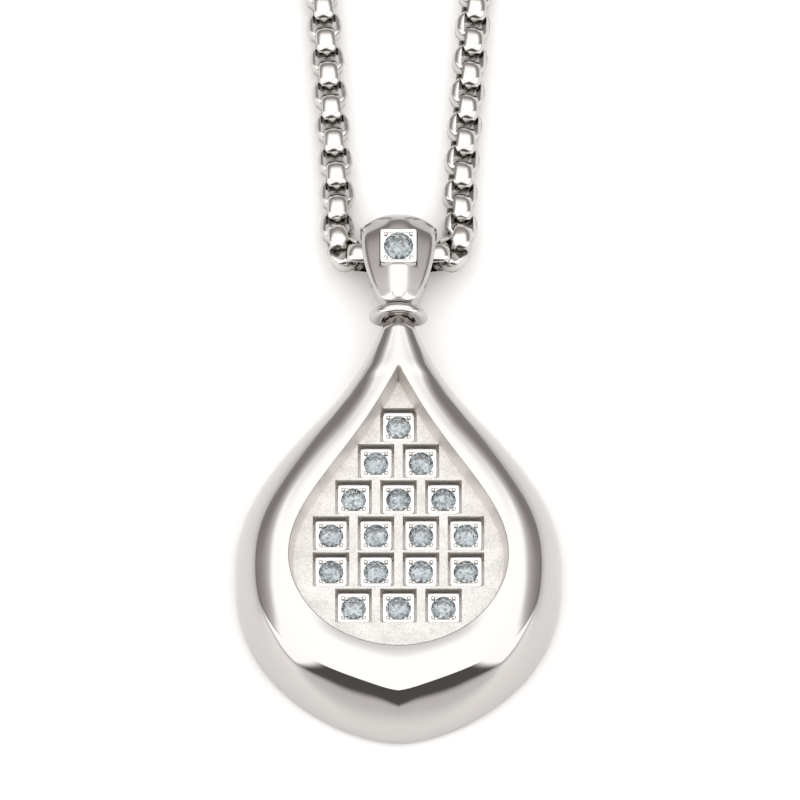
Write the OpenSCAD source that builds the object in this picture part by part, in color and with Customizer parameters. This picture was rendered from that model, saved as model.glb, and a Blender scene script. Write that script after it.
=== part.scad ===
// Teardrop pendant with a sunk matt field of small round stones, its bail and its chain.
// It lies on its back: +Z is the face, and +Y runs from the drop to the bail.

/* [Drop] */
// Greatest width of the drop
drop_w = 27.1; // [26.6:0.1:28.4]
// Distance from the widest place to the bottom tip
drop_low = 14; // [13.8:0.1:14.8]
// Height of the drop above the surface it lies on
drop_h = 7; // [6.8:0.1:7.4]
// Depth of the matt field below the lip
field_depth = 1.9; // [1.6:0.1:2.1]
// Thickness of the matt field plate
field_t = 1.75; // [1.7:0.05:1.9]

/* [Stones] */
// Diameter of a stone in the field
stone_d = 2.05; // [1.9:0.01:2.06]
// Distance between the stones of one row
pitch_x = 3.74; // [3.6:0.01:3.78]
// Distance between two rows of stones
pitch_y = 3.26; // [3.22:0.01:3.3]
// Width of a square setting
setting_w = 2.62; // [2.6:0.01:2.66]
// Width of the square pit round a setting
pit_w = 3.04; // [2.96:0.01:3.06]
// Depth of a setting's rim below the field
pit_depth = 0.48; // [0.4:0.01:0.55]

/* [Bail] */
// Width of the bail at its shoulders
bail_w = 6.4; // [6.2:0.1:6.6]
// Width of the bail at its foot
foot_w = 2.6; // [2.6:0.1:3]
// Thickness of the bail's strap at the front and back
strap_t = 1; // [0.9:0.05:1.1]
// Diameter of the stone in the bail
bail_stone_d = 2.45; // [2.3:0.01:2.46]
// Outer diameter of the collar ring
ring_d = 5.3; // [5.3:0.1:5.6]
// Thickness of the collar ring's wire
ring_wire = 1; // [0.8:0.05:1]

/* [Chain] */
// Thickness of the round box chain
chain_d = 3; // [2.8:0.05:3]
// Length of the barrel clasp
clasp_l = 12; // [11:0.5:14]
// Diameter of the barrel clasp
clasp_d = 4; // [3.9:0.1:4.2]

/* [Hidden] */
STONE_ROWS = [1, 2, 3, 4, 4, 3];
STONE_N = 17;
function two_digits(i) = str(i < 10 ? "0" : "", i);
SETTING_NAMES = [for (i = [1:STONE_N]) str("setting_", two_digits(i))];
STONE_NAMES = [for (i = [1:STONE_N]) str("stone_", two_digits(i))];

STEEL = "silver";
MATT = "gainsboro";
CLEAR = "lightsteelblue";

// Gap between two pieces that are seated on each other
gap = 0.05;

// Places along the length, measured from the drop's widest place
ring_y = 23.2;
neck_end_y = 24.6;
apex_y = 17.8;
foot_y = 23.6;
bail_top_y = 32.54;
shoulder_y = 31.2;
first_row_y = 12.98;
bail_stone_y = 28.65;

// Heights above the surface
neck_z = 3.7;
edge_z = 0.6;
field_z = drop_h - field_depth;
floor_z = field_z - field_t - gap;
rim_z = field_z - pit_depth;
bail_rim_z = 6.5;

// The route of the chain's right half, from the middle of the bail to the clasp
ROUTE = [
    [0, 29, 2.95], [1.8, 29, 2.95], [3.1, 29.05, 2.9], [4.45, 29.6, 2.5], [5.05, 30.9, 2],
    [5.1, 32.5, 1.6], [5.15, 36, 1.5], [5.55, 42, 1.5], [6, 48, 1.5], [6.5, 54, 1.5],
    [7.5, 61, 1.5], [9.5, 69, 1.5], [13.2, 77.5, 1.5], [17.9, 86, 1.5], [23.6, 94, 1.5],
    [30, 102, 1.5], [36.6, 110, 1.5], [43, 118, 1.5], [48.8, 126.5, 1.5], [53.8, 135.5, 1.5],
    [57.7, 145.5, 1.5], [60.2, 156.5, 1.5], [61, 168, 1.5], [60, 179, 1.5], [57, 189.5, 1.5],
    [52.2, 198.5, 1.5], [45.8, 206.5, 1.5], [37.8, 213, 1.5], [28.9, 217.8, 1.5], [19.5, 220.5, 1.6],
    [10, 221.5, 1.9], [clasp_l / 2 - 1.5, 221.5, clasp_d / 2]
];
clasp_y = 221.5;
clasp_z = clasp_d / 2;

// The whole necklace is centred on the origin
drop_y = -(clasp_y + clasp_d / 2 - drop_low) / 2;

// Share of the way round the drop at which the field's tip and the widest place lie
T_APEX = 0.25;
T_WIDE = 0.6;
T_SHOULDER = 0.35;

function ease(x, a, b) = let (u = max(0, min(1, (x - a) / (b - a)))) u * u * (3 - 2 * u);
function curve(p, t) = pow(1 - t, 3) * p[0] + 3 * pow(1 - t, 2) * t * p[1]
    + 3 * (1 - t) * t * t * p[2] + pow(t, 3) * p[3];
function unit(v) = v / norm(v);

// Right half of the lip round the field: down the neck's crest, then round the field
wx = drop_w / 27.1;
RIM_UPPER = [[0, apex_y], [3.6 * wx, 9.6], [9.1 * wx, 6], [9.1 * wx, 0.6]];
RIM_LOWER = [[9.1 * wx, 0.6], [9.1 * wx, -4.1], [4.5 * wx, -7.75], [0, -7.75]];
function rim(t) = t < T_APEX ? [0, neck_end_y + (apex_y - neck_end_y) * t / T_APEX]
    : t < T_WIDE ? curve(RIM_UPPER, (t - T_APEX) / (T_WIDE - T_APEX))
    : curve(RIM_LOWER, (t - T_WIDE) / (1 - T_WIDE));

// Right half of the drop's outer edge, from the neck's end to the bottom tip
EDGE_NECK = [[0.85, neck_end_y], [0.8, 21.7], [4.35 * wx, 17.1], [7.1 * wx, 14.2]];
EDGE_UPPER = [[7.1 * wx, 14.2], [14.1 * wx, 6.9], [drop_w / 2, 3.3], [drop_w / 2, 0.2]];
EDGE_LOWER = [[drop_w / 2, 0.2], [drop_w / 2, -9.5], [4.1 * wx, -drop_low], [0, -drop_low]];
function edge(t) = t < T_SHOULDER ? curve(EDGE_NECK, t / T_SHOULDER)
    : t < T_WIDE ? curve(EDGE_UPPER, (t - T_SHOULDER) / (T_WIDE - T_SHOULDER))
    : curve(EDGE_LOWER, (t - T_WIDE) / (1 - T_WIDE));

// One cross-section of the right half: lip, top band, shoulder, flank and rounded foot.
// Its points are given by their distance out from the lip and their height.
BAND_N = 5;
FLANK_N = 6;
FOOT_N = 2;
SECTION_N = BAND_N + FLANK_N + FOOT_N + 1;

// The shoulder's place across the section, and its depth below the lip: round the sides,
// at the bottom tip and along the neck
SHOULDER_SHARE = 0.58;
SIDE_DROP = 1;
TIP_DROP = 0.8;
NECK_DROP = 0.4;
// Slope of the surface inside and outside the shoulder: round the sides, and at the bottom tip
SIDE_SLOPE = 36;
TIP_SLOPE_IN = 14;
TIP_SLOPE_OUT = 47;
// Slope at the lip, and the lip's depth below its full height at the bottom tip
LIP_SLOPE = 3;
TIP_LIP_SLOPE = -15;
TIP_LIP_SINK = 0.5;
// The bottom tip's own shape fades in between these two distances below the widest place
TIP_FROM = 4;
TIP_TO = 12;
// The crest falls gently along the neck, steeply between these two places, and once more at
// the end in the bail. These are its heights over the neck's middle after each fall.
RIDGE_SLOPE = 4;
RIDGE_END_Y = 21.5;
COLLAR_Y = 22.2;
NECK_ABOVE = 1.5;
TENON_ABOVE = 0.9;
// The widest line and the back lift from the surface from these places on, the back to
// this far below the neck's middle
EDGE_LIFT_Y = 16.5;
BACK_LIFT_Y = 17;
NECK_BELOW = 1;
// How far the back's outline lies inside the widest line: at the drop, and at the neck
DROP_INSET = 0.6;
NECK_INSET = 0.8;
// Reach of the curves' handles, as shares of the band, the flank and the heights below
BAND_REACH = 0.38;
FLANK_REACH = 0.55;
TIP_LIP_REACH = 0.62;
TIP_FLANK_REACH = 0.32;
WIDE_REACH = 0.45;
FOOT_REACH = 0.4;

function ridge_height(y) =
    let (gentle = drop_h - max(y - apex_y, 0) * tan(RIDGE_SLOPE))
    gentle + (neck_z + NECK_ABOVE - gentle) * ease(y, RIDGE_END_Y, COLLAR_Y)
        - (NECK_ABOVE - TENON_ABOVE) * ease(y, ring_y, foot_y);

function section(t) =
    let (lip = rim(t), out = edge(t), w = norm(out - lip), way = (out - lip) / w)
    let (at_tip = ease(-out[1], TIP_FROM, TIP_TO))
    let (ridge = ridge_height(lip[1]), lip_z = ridge - TIP_LIP_SINK * at_tip)
    let (lip_slope = LIP_SLOPE * (1 - ease(lip[1], apex_y - 1, apex_y)) + (TIP_LIP_SLOPE - LIP_SLOPE) * at_tip)
    let (wide_z = edge_z + (neck_z - edge_z) * ease(out[1], EDGE_LIFT_Y, ring_y))
    let (back_z = (neck_z - NECK_BELOW) * ease(out[1], BACK_LIFT_Y, foot_y))
    let (inset = DROP_INSET + (NECK_INSET - DROP_INSET) * ease(out[1], BACK_LIFT_Y, ring_y))
    let (turn = SHOULDER_SHARE * w)
    let (turn_z = ridge - SIDE_DROP - (TIP_DROP - SIDE_DROP) * at_tip
        - (NECK_DROP - SIDE_DROP) * ease(lip[1], apex_y - 3, ring_y))
    let (slope_in = SIDE_SLOPE + (TIP_SLOPE_IN - SIDE_SLOPE) * at_tip)
    let (slope_out = SIDE_SLOPE + (TIP_SLOPE_OUT - SIDE_SLOPE) * at_tip)
    let (k0 = (BAND_REACH + (TIP_LIP_REACH - BAND_REACH) * at_tip) * turn, k1 = BAND_REACH * turn)
    let (k2 = (FLANK_REACH + (TIP_FLANK_REACH - FLANK_REACH) * at_tip) * (w - turn))
    let (band = [[0, lip_z], [k0, lip_z - k0 * tan(lip_slope)],
                 [turn - k1, turn_z + k1 * tan(slope_in)], [turn, turn_z]])
    let (flank = [[turn, turn_z], [turn + k2, turn_z - k2 * tan(slope_out)],
                  [w, wide_z + WIDE_REACH * (turn_z - wide_z)], [w, wide_z]])
    let (foot = [[w, wide_z], [w, back_z + FOOT_REACH * (wide_z - back_z)],
                 [w - FOOT_REACH * inset, back_z], [w - inset, back_z]])
    let (shape = concat([for (i = [0:BAND_N - 1]) curve(band, i / BAND_N)],
                        [for (i = [0:FLANK_N - 1]) curve(flank, i / FLANK_N)],
                        [for (i = [0:FOOT_N]) curve(foot, i / FOOT_N)]))
    [for (q = shape) [lip[0] + way[0] * q[0], lip[1] + way[1] * q[0], q[1]]];

// Places round the drop at which a cross-section is taken
NECK_N = 9;
UPPER_N = 19;
LOWER_N = 18;
PLACE_N = NECK_N + UPPER_N + LOWER_N;
PLACES = concat([for (i = [0:NECK_N - 1]) T_APEX * i / NECK_N],
                [for (i = [0:UPPER_N - 1]) T_APEX + (T_WIDE - T_APEX) * i / UPPER_N],
                [for (i = [0:LOWER_N]) T_WIDE + (1 - T_WIDE) * i / LOWER_N]);

// Each place has its right section and the pocket's floor point, then the same mirrored
ROW_N = SECTION_N + 1;
function floor_point(t) = [rim(t)[0], rim(t)[1], floor_z];
function mirrored(p) = [-p[0], p[1], p[2]];
FRAME_HALF = [for (t = PLACES) concat(section(t), [floor_point(t)])];
FRAME_POINTS = [for (row = FRAME_HALF) each concat(row, [for (p = row) mirrored(p)])];
function right_id(i, k) = 2 * ROW_N * i + k;
function left_id(i, k) = 2 * ROW_N * i + ROW_N + k;

FRAME_SKIN = [for (i = [0:PLACE_N - 1]) for (k = [0:SECTION_N - 2]) each [
    [right_id(i, k), right_id(i, k + 1), right_id(i + 1, k + 1), right_id(i + 1, k)],
    [left_id(i, k), left_id(i + 1, k), left_id(i + 1, k + 1), left_id(i, k + 1)]]];
BACK = SECTION_N - 1;
FRAME_BACK = [for (i = [0:PLACE_N - 1])
    [left_id(i, BACK), left_id(i + 1, BACK), right_id(i + 1, BACK), right_id(i, BACK)]];
POCKET = SECTION_N;
FRAME_POCKET = [for (i = [NECK_N:PLACE_N - 1]) each [
    [right_id(i, 0), right_id(i + 1, 0), right_id(i + 1, POCKET), right_id(i, POCKET)],
    [left_id(i, 0), left_id(i, POCKET), left_id(i + 1, POCKET), left_id(i + 1, 0)],
    [left_id(i, POCKET), right_id(i, POCKET), right_id(i + 1, POCKET), left_id(i + 1, POCKET)]]];
FRAME_CAP = [concat([for (k = [0:BACK]) left_id(0, k)], [for (k = [BACK:-1:1]) right_id(0, k)])];

// The polished drop: a convex frame round a sunk pocket, with a solid neck at its top
module drop_frame() {
    color(STEEL)
    translate([0, drop_y, 0])
    polyhedron(FRAME_POINTS, concat(FRAME_SKIN, FRAME_BACK, FRAME_POCKET, FRAME_CAP), convexity = 6);
}

// Middle of each stone in the field, row by row from the tip down
STONE_PLACES = [for (r = [0:len(STONE_ROWS) - 1]) for (c = [0:STONE_ROWS[r] - 1])
    [(c - (STONE_ROWS[r] - 1) / 2) * pitch_x, first_row_y - r * pitch_y]];

// The matt plate lies in the drop's pocket and is pierced by one square pit for each stone
FIELD_SHRINK = 0.992;
FIELD_MIDDLE = [0, 5];
FIELD_HALF = [for (i = [NECK_N:PLACE_N]) FIELD_MIDDLE + FIELD_SHRINK * (rim(PLACES[i]) - FIELD_MIDDLE)];
FIELD_OUTLINE = concat(FIELD_HALF, [for (i = [len(FIELD_HALF) - 2:-1:1]) [-FIELD_HALF[i][0], FIELD_HALF[i][1]]]);
module field_plate() {
    color(MATT)
    translate([0, drop_y, floor_z + gap])
    difference() {
        linear_extrude(height = field_t) polygon(FIELD_OUTLINE);
        for (p = STONE_PLACES)
            translate([p[0] - pit_w / 2, p[1] - pit_w / 2, -1]) cube([pit_w, pit_w, field_t + 2]);
    }
}

// Heights of a round stone's parts, as shares of its diameter
CROWN = 0.16;
GIRDLE = 0.02;
PAVILION = 0.41;
TABLE = 0.57;

// A square collet with a square mouth and a round hole that the stone's point hangs in
module collet(w, h, d, z_girdle) {
    mouth = d + 0.05;
    seat_z = z_girdle - 0.24 * d;
    seat_d = 0.5 * d;
    difference() {
        translate([-w / 2, -w / 2, 0]) cube([w, w, h]);
        translate([-mouth / 2, -mouth / 2, seat_z]) cube([mouth, mouth, h]);
        translate([0, 0, -1]) cylinder(d = seat_d, h = h + 2, $fn = 32);
    }
}

// A round cut stone with its girdle's upper edge at z = 0
module round_stone(d) {
    table = [for (j = [0:7]) [cos(45 * j) * TABLE * d / 2, sin(45 * j) * TABLE * d / 2, CROWN * d]];
    girdle = [for (i = [0:15]) [cos(22.5 * i) * d / 2, sin(22.5 * i) * d / 2, 0]];
    lower = [for (p = girdle) [p[0], p[1], -GIRDLE * d]];
    culet = [[0, 0, -(GIRDLE + PAVILION) * d]];
    polyhedron(concat(table, girdle, lower, culet), concat(
        [[for (j = [7:-1:0]) j]],
        [for (j = [0:7]) each [
            [j, (j + 1) % 8, 8 + 2 * j + 1],
            [j, 8 + 2 * j + 1, 8 + 2 * j],
            [j, 8 + 2 * j, 8 + (2 * j + 15) % 16]]],
        [for (i = [0:15]) [8 + i, 8 + (i + 1) % 16, 24 + (i + 1) % 16, 24 + i]],
        [for (i = [0:15]) [24 + i, 24 + (i + 1) % 16, 40]]));
}

// A collet stands on the pocket's floor in each pit of the field
collet_z = floor_z + gap;
girdle_z = rim_z - 0.12;
module setting(i) {
    color(STEEL)
    translate([STONE_PLACES[i][0], drop_y + STONE_PLACES[i][1], collet_z])
    collet(setting_w, rim_z - collet_z, stone_d, girdle_z - collet_z);
}
module stone(i) {
    color(CLEAR)
    translate([STONE_PLACES[i][0], drop_y + STONE_PLACES[i][1], girdle_z])
    round_stone(stone_d);
}

// The collar ring lies round the neck, between the drop's shoulders and the bail's foot
module collar_ring() {
    color(STEEL)
    translate([0, drop_y + ring_y, neck_z]) rotate([90, 0, 0])
    rotate_extrude($fn = 64) translate([(ring_d - ring_wire) / 2, 0]) circle(d = ring_wire, $fn = 32);
}

// The bail is a strap bent into a closed loop. Its side profile is an egg, a runs round it
// from the top over the face to the foot, and the strap's two edges sit lower than its middle.
function power(x, n) = sign(x) * pow(abs(x), n);
function egg(a, mid_y, half_y, half_z) = let (bluntness = 2 / (2.95 - 0.45 * cos(a)))
    [mid_y + half_y * power(cos(a), bluntness),
     neck_z - 0.3 - 0.3 * cos(a) + half_z * power(sin(a), bluntness)];
BAIL_HALF_H = 3.1;
TOP_WALL = 1.1;
FOOT_WALL = 2.3;
function bail_outer(a) = egg(a, (bail_top_y + foot_y) / 2, (bail_top_y - foot_y) / 2,
    BAIL_HALF_H + 0.2 * cos(a));
hole_top_y = bail_top_y - TOP_WALL;
hole_low_y = foot_y + FOOT_WALL;
function bail_inner(a) = egg(a, (hole_top_y + hole_low_y) / 2, (hole_top_y - hole_low_y) / 2,
    BAIL_HALF_H - strap_t + 0.15 * cos(a));

// The strap narrows from its shoulders to its foot, and is a little narrower at the back
BACK_NARROWING = 0.12;
function bail_half(y, a) =
    let (u = max(0, min(1, (y - foot_y) / (shoulder_y - foot_y))))
    (foot_w / 2 + (bail_w - foot_w) / 2 * (1 - (1 - u) * (1 - u)))
    * (1 - BACK_NARROWING * ease(-sin(a), 0, 1) * ease(y, foot_y, hole_low_y));
EDGE_DROP = 0.65;
ARCH = 0.75;
ACROSS = [-1, -0.94, -0.82, -0.6, -0.3, 0, 0.3, 0.6, 0.82, 0.94, 1];
function strap_row(a) =
    let (o = bail_outer(a), i = bail_inner(a), inward = unit(i - o), half = bail_half(o[0], a))
    let (arch = ARCH * pow((1 + cos(a)) / 2, 2))
    concat([for (s = ACROSS) let (q = o + inward * EDGE_DROP * pow(abs(s), 2.6))
                [s * half, q[0] - arch * s * s, q[1]]],
           [for (s = [0.95, 0, -0.95]) [s * half, i[0] - arch * s * s, i[1]]]);
BAIL_N = 36;
BAIL_POINTS = [for (i = [0:BAIL_N - 1]) each strap_row(360 * i / BAIL_N)];
STRAP_N = len(ACROSS) + 3;
BAIL_FACES = [for (i = [0:BAIL_N - 1]) for (k = [0:STRAP_N - 1])
    let (i2 = (i + 1) % BAIL_N, k2 = (k + 1) % STRAP_N)
    [i * STRAP_N + k, i * STRAP_N + k2, i2 * STRAP_N + k2, i2 * STRAP_N + k]];
collet_bail_w = 3.02;
window_w = collet_bail_w + 2 * gap;
window_z = 4.9;
neck_socket_d = 2.2;
module bail() {
    color(STEEL)
    translate([0, drop_y, 0])
    difference() {
        polyhedron(BAIL_POINTS, BAIL_FACES, convexity = 6);
        translate([0, foot_y - 1, neck_z]) rotate([-90, 0, 0]) cylinder(d = neck_socket_d, h = 1 + neck_end_y + gap - foot_y, $fn = 32);
        translate([-window_w / 2, bail_stone_y - window_w / 2, window_z]) cube([window_w, window_w, 3]);
    }
}

// The bail's own collet fills the window in its front, and its stone sits in that
bail_collet_z = window_z + 0.15;
bail_girdle_z = bail_rim_z - 0.14;
module bail_setting() {
    color(STEEL)
    translate([0, drop_y + bail_stone_y, bail_collet_z])
    collet(collet_bail_w, bail_rim_z - bail_collet_z, bail_stone_d, bail_girdle_z - bail_collet_z);
}
module bail_stone() {
    color(CLEAR)
    translate([0, drop_y + bail_stone_y, bail_girdle_z]) round_stone(bail_stone_d);
}

// The chain is swept along its route as a tube of its full thickness
LEFT_ROUTE = [for (i = [len(ROUTE) - 1:-1:1]) mirrored(ROUTE[i])];
WHOLE_ROUTE = concat(LEFT_ROUTE, ROUTE);
TUBE_SIDES = 8;
function heading(i) = unit(WHOLE_ROUTE[min(i + 1, len(WHOLE_ROUTE) - 1)] - WHOLE_ROUTE[max(i - 1, 0)]);
function tube_ring(i) =
    let (along = heading(i), side = unit(cross([0, 0, 1], along)), up = cross(along, side))
    [for (k = [0:TUBE_SIDES - 1]) let (a = 360 * k / TUBE_SIDES)
        WHOLE_ROUTE[i] + (side * cos(a) + up * sin(a)) * chain_d / 2];
LAST = len(WHOLE_ROUTE) - 1;
TUBE_POINTS = [for (i = [0:LAST]) each tube_ring(i)];
TUBE_FACES = concat(
    [for (i = [0:LAST - 1]) for (k = [0:TUBE_SIDES - 1]) let (k2 = (k + 1) % TUBE_SIDES)
        [i * TUBE_SIDES + k, (i + 1) * TUBE_SIDES + k, (i + 1) * TUBE_SIDES + k2, i * TUBE_SIDES + k2]],
    [[for (k = [0:TUBE_SIDES - 1]) k]],
    [[for (k = [TUBE_SIDES - 1:-1:0]) LAST * TUBE_SIDES + k]]);
module chain() {
    color(STEEL)
    translate([0, drop_y, 0]) polyhedron(TUBE_POINTS, TUBE_FACES, convexity = 10);
}

// The clasp is one plain barrel, and the chain's two ends sit in its sockets
socket_d = chain_d + 0.4;
socket_depth = 2;
module clasp() {
    color(STEEL)
    translate([0, drop_y + clasp_y, clasp_z]) rotate([0, 90, 0])
    difference() {
        translate([0, 0, -clasp_l / 2]) cylinder(d = clasp_d, h = clasp_l, $fn = 48);
        for (side = [-1, 1])
            translate([0, 0, side * (clasp_l - socket_depth + 1) / 2])
            cylinder(d = socket_d, h = socket_depth + 1, center = true, $fn = 48);
    }
}

drop_frame();
field_plate();
collar_ring();
bail();
bail_setting();
bail_stone();
chain();
clasp();
for (i = [0:STONE_N - 1]) {
    setting(i);
    stone(i);
}
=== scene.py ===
"""Teardrop pendant with a sunk matt field of small round stones, lying on a pale table
with its bail and its round box chain. Lengths are in millimetres until a mesh is made."""

import math

import bpy
import bmesh
import numpy as np
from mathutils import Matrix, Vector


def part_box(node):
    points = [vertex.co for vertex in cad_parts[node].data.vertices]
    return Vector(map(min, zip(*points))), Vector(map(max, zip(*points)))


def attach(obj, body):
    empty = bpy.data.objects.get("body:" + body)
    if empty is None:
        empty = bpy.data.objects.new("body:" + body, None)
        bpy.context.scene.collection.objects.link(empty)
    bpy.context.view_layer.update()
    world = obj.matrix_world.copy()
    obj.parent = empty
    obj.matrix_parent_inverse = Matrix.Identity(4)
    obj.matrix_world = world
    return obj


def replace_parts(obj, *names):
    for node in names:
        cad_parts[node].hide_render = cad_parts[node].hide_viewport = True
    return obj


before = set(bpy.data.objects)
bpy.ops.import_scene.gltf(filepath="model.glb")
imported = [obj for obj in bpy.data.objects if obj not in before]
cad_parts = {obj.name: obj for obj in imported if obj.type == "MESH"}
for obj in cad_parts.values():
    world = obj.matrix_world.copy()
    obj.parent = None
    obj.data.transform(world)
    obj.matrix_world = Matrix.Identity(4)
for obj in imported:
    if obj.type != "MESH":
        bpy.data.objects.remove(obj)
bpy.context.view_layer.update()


# The table and the studio.
# The pendant lies on a pale, faintly glossy table inside a white light tent. The tent's walls
# darken towards the table, and it is open towards the camera, which the polished steel shows.

MM = 0.001
TABLE_SIZE = 4000
# The picture's middle from the drop's widest place, and its width, both in mm, and the camera's
# height over the horizon in degrees
SHOT_MIDDLE = (0.125, 15.9, 3.5)
SHOT_WIDTH = 66.67
SHOT_ELEVATION = 67
CAMERA_DISTANCE = 3000
SENSOR_WIDTH = 36
WIDEST_TO_TIP = 14


def linear(hex_colour):
    """Linear RGBA of an sRGB hex colour. Each channel c becomes ((c + 0.055) / 1.055) ** 2.4, or
    c / 12.92 where it is very dark."""
    channels = np.array([int(hex_colour[i:i + 2], 16) for i in (1, 3, 5)]) / 255
    light = np.where(channels > 0.04045, ((channels + 0.055) / 1.055) ** 2.4, channels / 12.92)
    return (*light, 1.0)


def add_node(tree, kind, inputs=None, stops=None, **settings):
    """Adds one node of that kind. settings are its own attributes, inputs maps a socket's name
    or number to a value or to the output that is linked to it, and stops are the (place,
    linear colour) pairs of a ramp."""
    node = tree.nodes.new(kind)
    for name, value in settings.items():
        setattr(node, name, value)
    for name, value in (inputs or {}).items():
        if isinstance(value, bpy.types.NodeSocket):
            tree.links.new(value, node.inputs[name])
        else:
            node.inputs[name].default_value = value
    for number, (place, colour) in enumerate(stops or []):
        elements = node.color_ramp.elements
        element = elements[number] if number < len(elements) else elements.new(place)
        element.position = place
        element.color = colour
    return node


def new_material(name, **sockets):
    """Material with one Principled shader, whose named sockets are set here."""
    material = bpy.data.materials.new(name)
    material.use_nodes = True
    tree = material.node_tree
    tree.nodes.clear()
    shader = add_node(tree, "ShaderNodeBsdfPrincipled", sockets)
    add_node(tree, "ShaderNodeOutputMaterial", {"Surface": shader.outputs[0]})
    return material, tree, shader


# Light of the tent by the height of the direction over the horizon (its sine), as shares of
# the full white. The wall fades up from dark to white at the sides, and higher up at the back.
# Beside the camera it is white from the table on but for the seam of its roof, and towards the
# camera stands the dark opening. These last two are wider where they are low, so they lean.
TENT_WHITE = 1.95
SIDE_WALL = [(0.00, 0.45), (0.04, 0.20), (0.18, 0.18), (0.29, 0.22), (0.42, 0.37), (0.52, 0.52),
             (0.60, 0.80), (0.68, 0.98), (1.00, 1.00)]
BESIDE_CAMERA = [(0.00, 0.60), (0.03, 0.42), (0.06, 0.42), (0.12, 0.95), (0.63, 1.00), (0.67, 0.62),
                 (0.70, 0.62), (0.74, 1.00), (1.00, 1.00)]
CAMERA_GAP = [(0.00, 0.48), (0.05, 0.42), (0.11, 0.07), (0.62, 0.05), (0.72, 0.90), (1.00, 1.00)]
BACK_WALL = [(0.00, 0.45), (0.04, 0.20), (0.30, 0.22), (0.55, 0.38), (0.62, 0.50), (0.72, 0.64),
             (0.80, 0.84), (0.86, 1.00), (1.00, 1.00)]
# How each further wall takes over from the side wall: by how much its border leans with height,
# and between which shares of the direction towards the camera it fades in
BORDERS = [(-0.67, -0.20, -0.05, BESIDE_CAMERA), (-0.55, 0.58, 0.70, CAMERA_GAP),
           (0, -0.75, -0.97, BACK_WALL)]
WARM_DARK = np.array((1.00, 0.93, 0.91))
WARM_WHITE = np.array((1.00, 0.995, 0.99))
WARMTH_FADES = 1.4


def wall_stops(profile):
    """Ramp stops for a wall's profile. Dark stops are tinted warm, white ones hardly."""
    tint = lambda s: WARM_DARK + (WARM_WHITE - WARM_DARK) * min(1, s * WARMTH_FADES)
    return [(z, (*(s * tint(s)), 1)) for z, s in profile]


world = bpy.data.worlds.new("light_tent")
bpy.context.scene.world = world
world.use_nodes = True
sky = world.node_tree
sky.nodes.clear()
direction = add_node(sky, "ShaderNodeTexCoord").outputs["Generated"]
parts = add_node(sky, "ShaderNodeSeparateXYZ", {"Vector": direction})
flat = add_node(sky, "ShaderNodeVectorMath", {0: direction, 1: (1, 1, 0)}, operation="MULTIPLY")
level = add_node(sky, "ShaderNodeVectorMath", {0: flat.outputs[0]}, operation="NORMALIZE")
towards_camera = add_node(sky, "ShaderNodeVectorMath", {0: level.outputs[0], 1: (0, -1, 0)},
                          operation="DOT_PRODUCT").outputs["Value"]
height = parts.outputs["Z"]
walls = add_node(sky, "ShaderNodeValToRGB", {"Fac": height}, wall_stops(SIDE_WALL)).outputs[0]
for lean, start, end, profile in BORDERS:
    place = add_node(sky, "ShaderNodeMath", {0: height, 1: lean, 2: towards_camera},
                     operation="MULTIPLY_ADD").outputs[0]
    mask = add_node(sky, "ShaderNodeMapRange", {"Value": place, "From Min": start, "From Max": end},
                    interpolation_type="SMOOTHSTEP").outputs[0]
    wall = add_node(sky, "ShaderNodeValToRGB", {"Fac": height}, wall_stops(profile)).outputs[0]
    walls = add_node(sky, "ShaderNodeMix", {0: mask, 6: walls, 7: wall}, data_type="RGBA").outputs[2]
tent = add_node(sky, "ShaderNodeBackground", {"Color": walls, "Strength": TENT_WHITE})
backdrop = add_node(sky, "ShaderNodeBackground", {"Color": linear("#F6F5F4"), "Strength": 1.0})
seen = add_node(sky, "ShaderNodeLightPath").outputs["Is Camera Ray"]
sky_mix = add_node(sky, "ShaderNodeMixShader", {0: seen, 1: tent.outputs[0], 2: backdrop.outputs[0]})
add_node(sky, "ShaderNodeOutputWorld", {"Surface": sky_mix.outputs[0]})

drop_low, drop_high = (np.array(corner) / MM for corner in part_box("drop_frame"))
drop_h = drop_high[2]
# Where y = 0 of the pendant's own drawing lies in the frame: at the drop's widest place
WIDEST_Y = drop_low[1] + WIDEST_TO_TIP


def to_frame(points):
    """Points measured from the drop's widest place, in mm, as frame coordinates in metres."""
    return (np.asarray(points, float) + (0, WIDEST_Y, 0)) * MM


def add_piece(name, mesh, material):
    """Object for a finished mesh, which rides on the part's one body."""
    mesh.materials.append(material)
    piece = bpy.data.objects.new(name, mesh)
    bpy.context.scene.collection.objects.link(piece)
    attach(piece, "root")
    return piece


# Glazed white board: pale, and so little glossy that it mirrors the pendant only as a faint blur.
# Its gloss varies slowly, in this many clouds across the whole table.
CLOUDS_ACROSS = 60.0
glaze, tree, shader = new_material("glazed_white_board", **{
    "Base Color": linear("#EEEDEC"), "Roughness": 0.22, "Specular IOR Level": 0.1})
cloud = add_node(tree, "ShaderNodeTexNoise", {"Scale": CLOUDS_ACROSS, "Detail": 2.0})
gloss = add_node(tree, "ShaderNodeMapRange", {
    "Value": cloud.outputs[0], "To Min": 0.18, "To Max": 0.26})
tree.links.new(gloss.outputs[0], shader.inputs["Roughness"])
half = TABLE_SIZE / 2 * MM
table_mesh = bpy.data.meshes.new("table_top")
table_mesh.from_pydata([(-half, -half, 0), (half, -half, 0), (half, half, 0), (-half, half, 0)],
                       [], [(0, 1, 2, 3)])
table_mesh.materials.append(glaze)
table = bpy.data.objects.new("table_top", table_mesh)
bpy.context.scene.collection.objects.link(table)

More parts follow.
